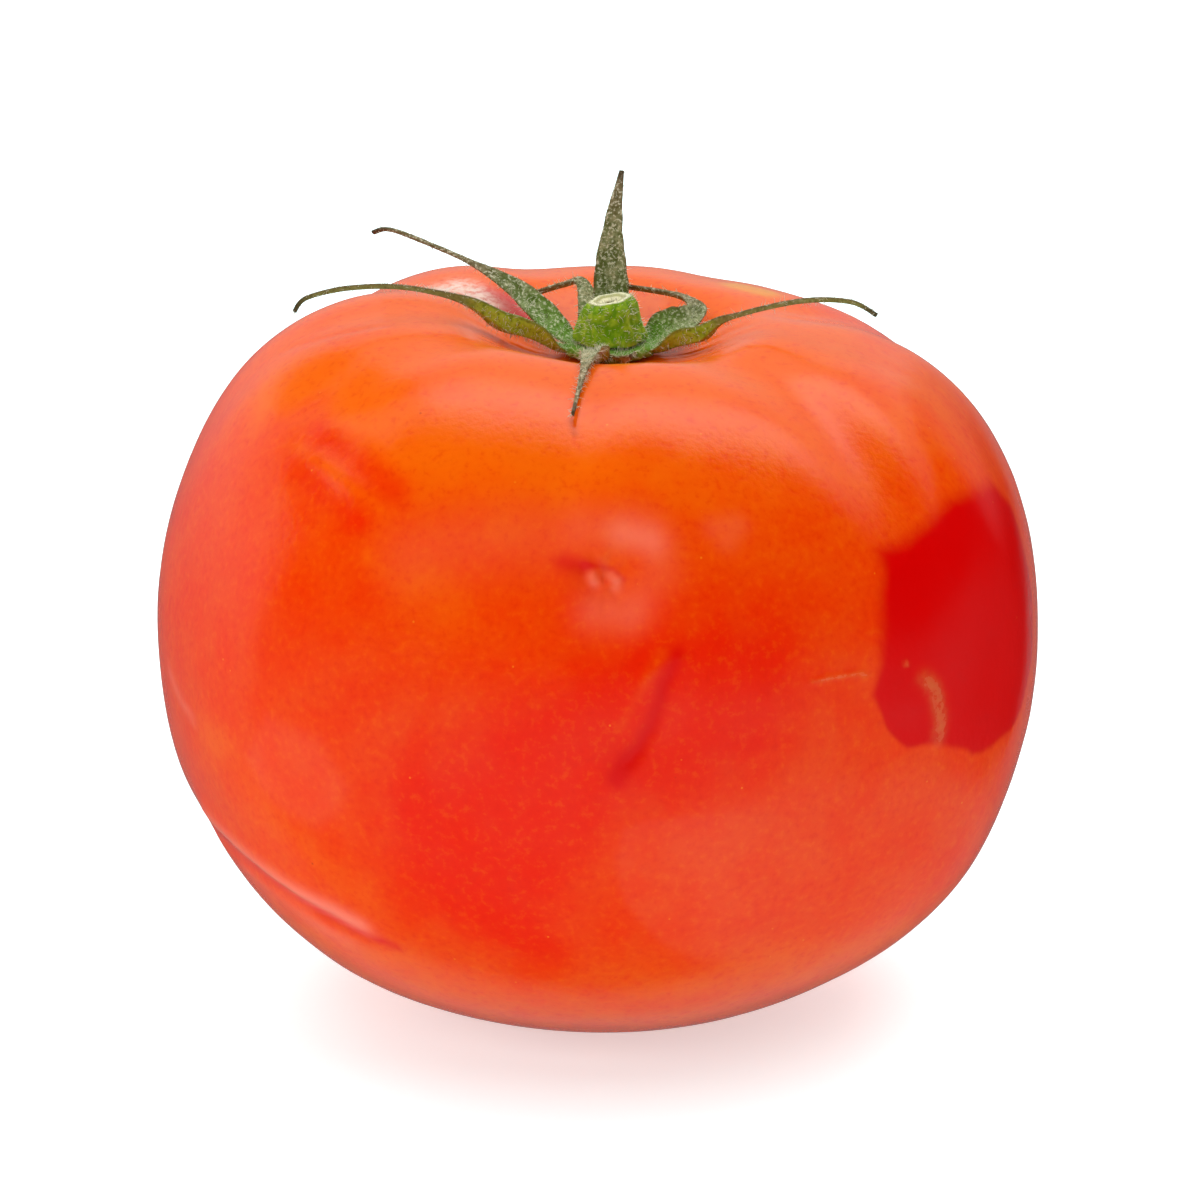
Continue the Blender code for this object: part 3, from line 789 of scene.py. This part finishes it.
def sepal_width(share, widest, thread_from):
    """Width at this share of the length: a lance blade that draws out into a thread and a fine tip."""
    root = SEPAL_ROOT_SHARE + (1 - SEPAL_ROOT_SHARE) * ramp(share, 0, FULL_WIDTH_FROM)
    blade = root * (1 - ramp(share, NARROWING_FROM, thread_from))
    thread = SEPAL_THREAD + (SEPAL_TIP_WIDTH - SEPAL_THREAD) * ramp(share, 0.8, 1)
    return thread + (widest - SEPAL_THREAD) * blade


def add_sepal(bm, layers, azimuth, widest, thread_from, cupping, roll, dry, path):
    """One sepal: a thin blade with a midrib under it and a slightly waved edge."""
    frames = sepal_frames(azimuth, path, roll)
    grid = bmesh.ops.create_grid(bm, x_segments=SEPAL_STEPS, y_segments=SEPAL_ACROSS, size=0.5)
    bm.faces.index_update()
    faces = {face for vert in grid["verts"] for face in vert.link_faces}
    thick = bmesh.ops.solidify(bm, geom=sorted(faces, key=lambda face: face.index), thickness=1)
    verts = set(grid["verts"]) | {item for item in thick["geom"] if isinstance(item, bmesh.types.BMVert)}
    seed = azimuth * 0.1
    for vert in verts:
        share = vert.co.x + 0.5
        across = vert.co.y * 2
        under = abs(vert.co.z) > 0.5
        place, sideways, face = frames[round(share * SEPAL_STEPS)]
        half = sepal_width(share, widest, thread_from) / 2
        fine = half * 2 / widest
        wave = noise.noise(Vector((share * 14, seed + (5 if across > 0 else 0), 0)))
        half *= 1 + 0.10 * wave * abs(across)
        lift = cupping * ramp(share, 0, CUPPED_FROM) * half * across * across
        flutter = noise.noise(Vector((share * 9, seed + (9 if across > 0 else 3), 2)))
        lift += EDGE_WAVE * fine * flutter * across * across
        thickness = SEPAL_EDGE_THICKNESS + (SEPAL_MIDDLE_THICKNESS - SEPAL_EDGE_THICKNESS) * (1 - across**2)
        rib = MIDRIB_RISE * math.exp(-((across / 0.22) ** 2)) * (0.3 + 0.7 * fine)
        lift += -thickness / 2 - rib if under else thickness / 2 - rib * 0.35
        vert.co = place + sideways * (across * half) + face * lift
        vert[layers["along"]] = share
        vert[layers["across"]] = across
        vert[layers["under"]] = 1.0 if under else 0.0
        vert[layers["dry"]] = dry
        vert[layers["blade"]] = fine


def make_calyx(material):
    """The ring under the stalk and every sepal, as one piece."""
    bm = bmesh.new()
    layers = {name: bm.verts.layers.float.new(name) for name in ("along", "across", "under", "dry", "blade")}
    profile = (
        (0, 0),
        (RING_RADIUS * 0.9, 0),
        (RING_RADIUS, RING_HEIGHT * 0.3),
        (RING_RADIUS * 0.99, RING_HEIGHT * 0.7),
        (RING_RADIUS * 0.93, RING_HEIGHT * 0.95),
        (RING_RADIUS * 0.84, RING_HEIGHT),
        (0, RING_HEIGHT),
    )
    outline = [bm.verts.new((x, 0, z)) for x, z in profile]
    edges = [bm.edges.new(pair) for pair in zip(outline, outline[1:])]
    bmesh.ops.spin(
        bm, geom=outline + edges, axis=(0, 0, 1), angle=math.tau, steps=RING_AROUND, use_merge=True
    )
    bmesh.ops.remove_doubles(bm, verts=bm.verts, dist=MERGE_DISTANCE)
    for vert in bm.verts:
        turn = math.atan2(vert.co.y, vert.co.x)
        swell = 1 + 0.03 * math.cos(16 * turn) + 0.03 * math.cos(5 * turn + 1)
        vert.co.x *= swell
        vert.co.y *= swell
        vert[layers["blade"]] = 1.0
        vert[layers["dry"]] = 0.1
    bmesh.ops.recalc_face_normals(bm, faces=bm.faces)
    bmesh.ops.translate(bm, verts=bm.verts, vec=ring_base())
    for _, *details in SEPALS:
        add_sepal(bm, layers, *details)
    return add_object("calyx_sepals", mesh_from(bm, "calyx_sepals"), material)


# Stalk


def stalk_profile():
    """The stub's outline, from the middle of its foot to the middle of the cut."""
    knots = (
        (STALK_FOOT_RADIUS, 0),
        (STALK_FOOT_RADIUS, STALK_BEVEL),
        (STALK_WAIST_RADIUS, STALK_WAIST_HEIGHT),
        (STALK_SHOULDER_RADIUS, STALK_HEIGHT - 2 * STALK_BEVEL),
        (STALK_SHOULDER_RADIUS - STALK_BEVEL / 3, STALK_HEIGHT - STALK_BEVEL),
        (STALK_CUT_RADIUS, STALK_HEIGHT),
    )
    outline = [Vector((0, 0, 0))]
    outline += smooth_path([Vector((x, 0, z)) for x, z in knots], STALK_SIDE_STEPS)
    outline += straight_run((STALK_CUT_RADIUS, STALK_HEIGHT), (0, STALK_HEIGHT), STALK_CUT_STEPS)
    return outline


def make_stalk(material):
    """The stub of stalk: a ribbed knob that flares into the calyx, cut off a little aslant."""
    bm = bmesh.new()
    outline = [bm.verts.new(point) for point in stalk_profile()]
    edges = [bm.edges.new(pair) for pair in zip(outline, outline[1:])]
    bmesh.ops.spin(
        bm, geom=outline + edges, axis=(0, 0, 1), angle=math.tau, steps=STALK_AROUND, use_merge=True
    )
    bmesh.ops.remove_doubles(bm, verts=bm.verts, dist=MERGE_DISTANCE)
    cut = bm.verts.layers.float.new("cut")
    rim = bm.verts.layers.float.new("rim")
    for vert in bm.verts:
        x, y, z = vert.co
        reach = math.hypot(x, y)
        turn = math.atan2(y, x)
        on_cut = z > STALK_HEIGHT - MERGE_DISTANCE
        rib = 1 + STALK_RIB_SWELL * math.cos(STALK_RIBS * turn)
        rib += 0.02 * math.cos(17 * turn + 8 * z / STALK_HEIGHT)
        vert.co.x *= rib
        vert.co.y *= rib
        share = reach / STALK_CUT_RADIUS
        if on_cut:
            dish = 0.16 * (1 - share**2) - 0.10 * math.exp(-(((share - 0.78) / 0.14) ** 2))
            slit = 0.30 * math.exp(-((x / 0.00045) ** 2 + (y / 0.00075) ** 2))
            vert.co.z -= (dish + slit) * MILLIMETRE
            vert[cut] = 1.0
            vert[rim] = share
        vert.co.z += math.tan(CUT_SLOPE) * x * ramp(z, STALK_HEIGHT / 2, STALK_HEIGHT)
    bmesh.ops.recalc_face_normals(bm, faces=bm.faces)
    bmesh.ops.translate(bm, verts=bm.verts, vec=ring_base() + Vector((0, 0, RING_HEIGHT + GAP)))
    return add_object("cut_stalk", mesh_from(bm, "cut_stalk"), material)


# Hairs


def hair_stand(mesh, face, dice):
    """The length of one hair, and the matrix that stands it on a random place of this face."""
    weights = dice.dirichlet(np.ones(len(face.vertices)))
    root = sum((mesh.vertices[i].co * w for i, w in zip(face.vertices, weights)), Vector())
    lean = Vector(dice.normal(0, HAIR_LEAN, 3))
    aim = (face.normal + lean).normalized()
    length = dice.uniform(*HAIR_LENGTHS)
    turn = aim.to_track_quat("Z", "Y").to_matrix().to_4x4()
    return length, Matrix.Translation(root + aim * length * HAIR_MIDDLE) @ turn


def make_hairs(grown_on, material):
    """Short stiff hairs on the pieces given, each with how many it carries."""
    dice = np.random.default_rng(HAIR_SEED)
    whole = bmesh.new()
    for piece, count in grown_on:
        mesh = piece.data
        faces = [face for face in mesh.polygons if face.center.z > HAIRS_ABOVE]
        areas = np.array([face.area for face in faces])
        chosen = dice.choice(len(faces), size=count, p=areas / areas.sum())
        for tuft in np.array_split(chosen, math.ceil(count / HAIRS_AT_ONCE)):
            bm = bmesh.new()
            for index in tuft:
                length, stand = hair_stand(mesh, faces[index], dice)
                bmesh.ops.create_cone(
                    bm,
                    cap_ends=False,
                    segments=3,
                    radius1=HAIR_RADIUS,
                    radius2=HAIR_RADIUS * HAIR_TAPER,
                    depth=length,
                    matrix=stand,
                )
            part = mesh_from(bm, "tuft")
            whole.from_mesh(part)
            bpy.data.meshes.remove(part)
    return add_object("calyx_hairs", mesh_from(whole, "calyx_hairs"), material)


# Materials

# Colours of the calyx, the stalk and its cut, the hairs and the floor, as they look on a screen
SEPAL_UPPER_DARK = srgb(84, 96, 44)
SEPAL_UPPER_PALE = srgb(140, 144, 102)
SEPAL_UNDER_DARK = srgb(116, 142, 16)
SEPAL_UNDER_PALE = srgb(156, 172, 52)
SEPAL_FRESH_UPPER = srgb(88, 138, 24)
SEPAL_FRESH_UNDER = srgb(150, 190, 44)
SEPAL_THREAD_BROWN = srgb(112, 92, 64)
SEPAL_PARCHED = srgb(168, 142, 106)
SEPAL_EDGE_BROWN = srgb(96, 70, 40)
SEPAL_FROST = srgb(222, 218, 192)
SEPAL_SPECK = srgb(70, 62, 30)
SEPAL_TIP_BROWN = srgb(58, 42, 24)
STALK_DARK_GREEN = srgb(86, 134, 10)
STALK_PALE_GREEN = srgb(146, 176, 40)
STALK_FROST = srgb(186, 192, 140)
CUT_PITH = srgb(122, 106, 62)
CUT_FLESH = srgb(222, 216, 176)
CUT_VESSELS = srgb(170, 168, 112)
CUT_OUTER_FLESH = srgb(224, 222, 186)
CUT_RIND = srgb(120, 128, 60)
HAIR_GREY = srgb(176, 178, 140)
HAIR_WHITE = srgb(232, 230, 208)
PAPER_SHADE = srgb(226, 246, 248)
PAPER_WHITE = srgb(232, 250, 251)


class Wiring:
    """A node tree, with short ways to add and link its nodes."""

    def __init__(self, tree):
        self.tree = tree

    def fill(self, socket, value):
        if isinstance(value, bpy.types.NodeSocket):
            self.tree.links.new(value, socket)
        else:
            socket.default_value = value

    def node(self, kind, inputs, **settings):
        made = self.tree.nodes.new(kind)
        for name, value in settings.items():
            setattr(made, name, value)
        for key, value in inputs.items():
            self.fill(made.inputs[key], value)
        return made

    def step(self, value, low, high, out_low=0.0, out_high=1.0):
        """A smooth step from out_low at low to out_high at high."""
        inputs = {"Value": value, "From Min": low, "From Max": high, "To Min": out_low, "To Max": out_high}
        return self.node("ShaderNodeMapRange", inputs, interpolation_type="SMOOTHSTEP").outputs["Result"]

    def math(self, operation, first, second=0.0):
        return self.node("ShaderNodeMath", {0: first, 1: second}, operation=operation).outputs["Value"]

    def blend(self, share, below, above):
        inputs = {0: share, 6: below, 7: above}
        return self.node("ShaderNodeMix", inputs, data_type="RGBA").outputs[2]


class Recipe(Wiring):
    """The nodes of one material."""

    def __init__(self, name):
        self.material = bpy.data.materials.new(name)
        self.material.use_nodes = True
        super().__init__(self.material.node_tree)
        self.shader = self.tree.nodes["Principled BSDF"]
        self.place = self.tree.nodes.new("ShaderNodeTexCoord").outputs["Object"]

    def noise(self, size, detail=2.0, roughness=0.5):
        """Noise from 0 to 1 with blobs of about this size in metres."""
        inputs = {"Vector": self.place, "Scale": 1 / size, "Detail": detail, "Roughness": roughness}
        return self.node("ShaderNodeTexNoise", inputs).outputs["Fac"]

    def dots(self, spacing, radius, share):
        """1 in round dots of this radius: one at a random place in this share of all cells of this size."""
        cells = self.node("ShaderNodeTexVoronoi", {"Vector": self.place, "Scale": 1 / spacing})
        drawn = self.node("ShaderNodeSeparateColor", {"Color": cells.outputs["Color"]}).outputs["Red"]
        disc = self.step(cells.outputs["Distance"], radius / spacing, radius * 0.4 / spacing)
        return self.math("MULTIPLY", disc, self.math("LESS_THAN", drawn, share))

    def attribute(self, name):
        return self.node("ShaderNodeAttribute", {}, attribute_name=name).outputs["Fac"]

    def bump(self, height, distance):
        """A relief of this height in metres."""
        inputs = {"Height": height, "Distance": distance, "Strength": 1.0}
        return self.node("ShaderNodeBump", inputs).outputs["Normal"]


def skin_material():
    skin = Recipe("tomato_skin")
    mottle = skin.noise(0.0050, 3.0)
    grain = skin.noise(0.0008, 3.0, 0.6)
    # The painted reflection of a dark red neighbour: a deeper red, with fewer gold dots and pores
    dark_reflection = skin.attribute("dark_reflection")
    plain = skin.math("SUBTRACT", 1.0, dark_reflection)
    orange = skin.math("ADD", skin.attribute("orange"), skin.step(mottle, 0.3, 0.7, -0.08, 0.08))
    colour = skin.blend(skin.step(orange, 0.0, 0.5), RIPE_RED, RIPE_ORANGE_RED)
    colour = skin.blend(skin.step(orange, 0.4, 1.0), colour, RIPE_ORANGE)
    colour = skin.blend(skin.step(grain, 0.5, 0.75, 0.0, 0.22), colour, GRAIN_ORANGE)
    colour = skin.blend(skin.step(grain, 0.5, 0.25, 0.0, 0.35), colour, GRAIN_RED)
    # Darker red: real marks, and painted shade in the groove, the crease and the pucker's pit
    colour = skin.blend(skin.attribute("red"), colour, MARK_AND_SHADE_RED)
    dark_reflection = skin.math("ADD", dark_reflection, skin.step(mottle, 0.3, 0.7, -0.06, 0.06))
    colour = skin.blend(skin.step(dark_reflection, 0.2, 0.8), colour, REFLECTED_DEEP_RED)
    gold = skin.math("MULTIPLY", skin.dots(0.0032, 0.00016, 0.5), skin.step(plain, 0.0, 1.0, 0.12, 0.45))
    colour = skin.blend(gold, colour, DOT_GOLD)
    pores = skin.math("MULTIPLY", skin.dots(0.0061, 0.00018, 0.4), skin.step(plain, 0.0, 1.0, 0.1, 0.6))
    colour = skin.blend(pores, colour, PORE_DARK)
    colour = skin.blend(skin.attribute("dark"), colour, DARK_RED)
    # Painted highlights and reflections of the white studio, in pale pink
    colour = skin.blend(skin.attribute("painted_highlight"), colour, HIGHLIGHT_PINK)
    colour = skin.blend(skin.attribute("yellow"), colour, PATCH_YELLOW)
    scuff = skin.math("MULTIPLY", skin.attribute("scuff"), skin.step(grain, 0.3, 0.65, 0.4, 1.2))
    colour = skin.blend(scuff, colour, SCUFF_WHITE)
    cork = skin.math("MULTIPLY", skin.attribute("cork"), skin.step(grain, 0.3, 0.6, 0.4, 1.3))
    colour = skin.blend(cork, colour, CORK_TAN)
    skin.fill(skin.shader.inputs["Base Color"], colour)
    roughness = skin.step(mottle, 0.3, 0.7, 0.16, 0.20)
    roughness = skin.math("ADD", roughness, skin.math("MULTIPLY", cork, 0.35))
    skin.fill(skin.shader.inputs["Roughness"], roughness)
    skin.shader.inputs["Subsurface Weight"].default_value = 0.15
    skin.shader.inputs["Subsurface Radius"].default_value = (1.0, 0.30, 0.12)
    skin.shader.inputs["Subsurface Scale"].default_value = 0.003
    skin.fill(skin.shader.inputs["Normal"], skin.bump(grain, 0.000034))
    return skin.material


def sepal_material():
    sepal = Recipe("sepals")
    along = sepal.attribute("along")
    across = sepal.math("ABSOLUTE", sepal.attribute("across"))
    under = sepal.attribute("under")
    dry = sepal.attribute("dry")
    blade = sepal.attribute("blade")
    mottle = sepal.noise(0.0012, 3.0, 0.6)
    fine = sepal.noise(0.0003, 2.0)
    mottled = sepal.step(mottle, 0.35, 0.65)
    upper = sepal.blend(mottled, SEPAL_UPPER_DARK, SEPAL_UPPER_PALE)
    lower = sepal.blend(mottled, SEPAL_UNDER_DARK, SEPAL_UNDER_PALE)
    colour = sepal.blend(under, upper, lower)
    fresh = sepal.blend(under, SEPAL_FRESH_UPPER, SEPAL_FRESH_UNDER)
    colour = sepal.blend(sepal.step(along, 0.02, 0.42, 0.85, 0.0), colour, fresh)
    thread = sepal.step(blade, 0.55, 0.2)
    colour = sepal.blend(sepal.math("MULTIPLY", thread, 0.75), colour, SEPAL_THREAD_BROWN)
    parched = sepal.math("ADD", dry, sepal.step(mottle, 0.3, 0.7, -0.35, 0.25))
    parched = sepal.math("MULTIPLY", parched, sepal.step(along, 0.08, 0.40, 0.3, 1.0))
    colour = sepal.blend(sepal.step(parched, 0.35, 1.0, 0.0, 0.75), colour, SEPAL_PARCHED)
    edge = sepal.math("MULTIPLY", sepal.step(across, 0.82, 0.98), 0.6)
    colour = sepal.blend(edge, colour, SEPAL_EDGE_BROWN)
    frost = sepal.step(under, 0.0, 1.0, 0.60, 0.12)
    frost = sepal.math("MULTIPLY", frost, sepal.step(dry, 0.1, 0.35, 0.4, 1.0))
    frost = sepal.math("MULTIPLY", sepal.step(fine, 0.54, 0.64), frost)
    colour = sepal.blend(frost, colour, SEPAL_FROST)
    colour = sepal.blend(sepal.step(fine, 0.44, 0.34, 0.0, 0.5), colour, SEPAL_SPECK)
    colour = sepal.blend(sepal.step(along, 0.90, 0.98, 0.0, 0.8), colour, SEPAL_TIP_BROWN)
    sepal.fill(sepal.shader.inputs["Base Color"], colour)
    sepal.fill(sepal.shader.inputs["Roughness"], sepal.step(fine, 0.3, 0.7, 0.55, 0.75))
    sepal.fill(sepal.shader.inputs["Normal"], sepal.bump(mottle, 0.00012))
    return sepal.material


def stalk_material():
    stalk = Recipe("stalk")
    cut = stalk.attribute("cut")
    rim = stalk.attribute("rim")
    mottle = stalk.noise(0.0009, 3.0, 0.6)
    fine = stalk.noise(0.00025, 2.0)
    bark = stalk.blend(stalk.step(mottle, 0.35, 0.7), STALK_DARK_GREEN, STALK_PALE_GREEN)
    bark = stalk.blend(stalk.step(fine, 0.62, 0.75, 0.0, 0.25), bark, STALK_FROST)
    face = stalk.blend(stalk.step(rim, 0.1, 0.34), CUT_PITH, CUT_FLESH)
    face = stalk.blend(stalk.step(rim, 0.45, 0.62), face, CUT_VESSELS)
    face = stalk.blend(stalk.step(rim, 0.68, 0.82), face, CUT_OUTER_FLESH)
    face = stalk.blend(stalk.step(rim, 0.9, 1.0), face, CUT_RIND)
    colour = stalk.blend(stalk.step(cut, 0.4, 0.6), bark, face)
    stalk.fill(stalk.shader.inputs["Base Color"], colour)
    stalk.fill(stalk.shader.inputs["Roughness"], stalk.step(fine, 0.3, 0.7, 0.55, 0.75))
    stalk.fill(stalk.shader.inputs["Normal"], stalk.bump(mottle, 0.00015))
    return stalk.material


def hair_material():
    hair = Recipe("hairs")
    shade = hair.noise(0.002, 1.0)
    hair.fill(hair.shader.inputs["Base Color"], hair.blend(shade, HAIR_GREY, HAIR_WHITE))
    hair.shader.inputs["Roughness"].default_value = 0.5
    return hair.material


# Stage


def make_floor():
    bm = bmesh.new()
    bmesh.ops.create_grid(bm, x_segments=2, y_segments=2, size=FLOOR_HALF_WIDTH)
    bmesh.ops.translate(bm, verts=bm.verts, vec=(0, 0, -FLOOR_DROP))
    paper = Recipe("paper")
    tint = paper.noise(0.5, 1.0)
    paper.fill(paper.shader.inputs["Base Color"], paper.blend(tint, PAPER_SHADE, PAPER_WHITE))
    paper.shader.inputs["Roughness"].default_value = 0.9
    paper.shader.inputs["Emission Color"].default_value = FLOOR_TINT
    paper.shader.inputs["Emission Strength"].default_value = FLOOR_GLOW
    paper.shader.inputs["Specular IOR Level"].default_value = 0.0
    floor = add_object("floor", mesh_from(bm, "floor"), paper.material)
    floor.visible_glossy = False


def make_world():
    """A studio that is white behind the fruit and overhead, and dark in front, in a few gaps and low on the
    right. The camera itself sees plain white.
    """
    world = bpy.data.worlds.new("studio")
    world.use_nodes = True
    world.cycles.sampling_method = "NONE"
    studio = Wiring(world.node_tree)
    aim = studio.node("ShaderNodeTexCoord", {}).outputs["Generated"]
    parts = studio.node("ShaderNodeSeparateXYZ", {"Vector": aim}).outputs
    x, y, z = parts["X"], parts["Y"], parts["Z"]

    def towards(direction):
        inputs = {0: aim, 1: Vector(direction).normalized()}
        return studio.node("ShaderNodeVectorMath", inputs, operation="DOT_PRODUCT").outputs["Value"]

    sides = studio.step(y, *WHITE_SIDES_BEGIN, 0.0, STUDIO_WHITE)
    below = studio.step(z, -0.50, -0.75, 0.0, 0.7)
    horizon = studio.math("MAXIMUM", studio.step(z, -0.30, 0.15, 0.36, 1.0), below)
    sides = studio.math("MULTIPLY", sides, horizon)
    low_right = studio.math("MULTIPLY", studio.step(x, 0.15, 0.5), studio.step(z, -0.38, -0.5, 0.0, 0.27))
    level = studio.math("MAXIMUM", sides, low_right)
    above = studio.math("MULTIPLY", studio.step(y, 0.10, 0.45), studio.step(x, -0.38, -0.24))
    aslant = studio.math("ADD", z, studio.math("MULTIPLY", x, 0.15))
    above = studio.math("MULTIPLY", above, studio.step(aslant, 0.66, 0.90, 0.0, OVERHEAD_WHITE))
    level = studio.math("ADD", level, above)
    for direction, end, whole in GAPS:
        level = studio.math("MULTIPLY", level, studio.step(towards(direction), end, whole, 1.0, 0.1))
    flat = studio.math("MULTIPLY", studio.math("MULTIPLY", z, z), 0.9)
    away = studio.math("ADD", studio.math("SUBTRACT", 1.0, towards(DARK_SIDE)), flat)
    level = studio.math("MULTIPLY", level, studio.step(away, 0.26, 0.33))
    far_right = studio.math("MULTIPLY", studio.step(y, 0.66, 0.76, 0.0, 0.18), studio.step(z, -0.10, 0.08))
    level = studio.math("MAXIMUM", level, studio.math("MULTIPLY", far_right, studio.step(x, 0.0, 0.3)))
    seen = studio.node("ShaderNodeLightPath", {}).outputs
    strength = studio.node("ShaderNodeMix", {0: seen["Is Camera Ray"], 2: level, 3: BACKDROP}).outputs[0]
    studio.fill(studio.tree.nodes["Background"].inputs["Strength"], strength)
    studio.tree.nodes["Background"].inputs["Color"].default_value = (1, 1, 1, 1)
    bpy.context.scene.world = world


def add_softbox(name, place, width, height, radiance):
    """A flat lamp of this size that faces the fruit. It lights matt surfaces; gloss mirrors the studio."""
    light = bpy.data.lights.new(name, "AREA")
    light.shape = "RECTANGLE"
    light.size = width
    light.size_y = height
    light.energy = radiance * math.pi * width * height
    light.cycles.use_multiple_importance_sampling = False
    lamp = bpy.data.objects.new(name, light)
    lamp.location = place
    lamp.rotation_euler = (Vector((0, 0, AIM_HEIGHT)) - Vector(place)).to_track_quat("-Z", "Y").to_euler()
    lamp.visible_camera = False
    lamp.visible_glossy = False
    bpy.context.scene.collection.objects.link(lamp)


def make_lights():
    for softbox in SOFTBOXES:
        add_softbox(*softbox)


def make_camera():
    back = Vector((0, -math.cos(CAMERA_ELEVATION), math.sin(CAMERA_ELEVATION)))
    place = Vector((0, 0, CAMERA_PIVOT_HEIGHT)) + back * CAMERA_DISTANCE
    aim = Vector((0, 0, AIM_HEIGHT))
    camera = bpy.data.cameras.new("camera")
    camera.sensor_width = SENSOR_WIDTH
    camera.lens = SENSOR_WIDTH * CAMERA_DISTANCE / PICTURE_WIDTH
    camera.clip_start = 0.01
    stand = bpy.data.objects.new("camera", camera)
    stand.location = place
    stand.rotation_euler = (aim - place).to_track_quat("-Z", "Y").to_euler()
    bpy.context.scene.collection.objects.link(stand)
    bpy.context.scene.camera = stand


def main():
    bpy.context.scene.view_settings.view_transform = "Standard"
    make_camera()
    make_world()
    make_lights()
    make_floor()
    skin = make_fruit(skin_material())
    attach(skin, "root")
    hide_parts("fruit")
    calyx = make_calyx(sepal_material())
    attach(calyx, "root")
    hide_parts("calyx")
    stalk = make_stalk(stalk_material())
    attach(stalk, "root")
    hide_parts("stalk")
    hairs = make_hairs(((calyx, CALYX_HAIRS), (stalk, STALK_HAIRS)), hair_material())
    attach(hairs, "root")


main()
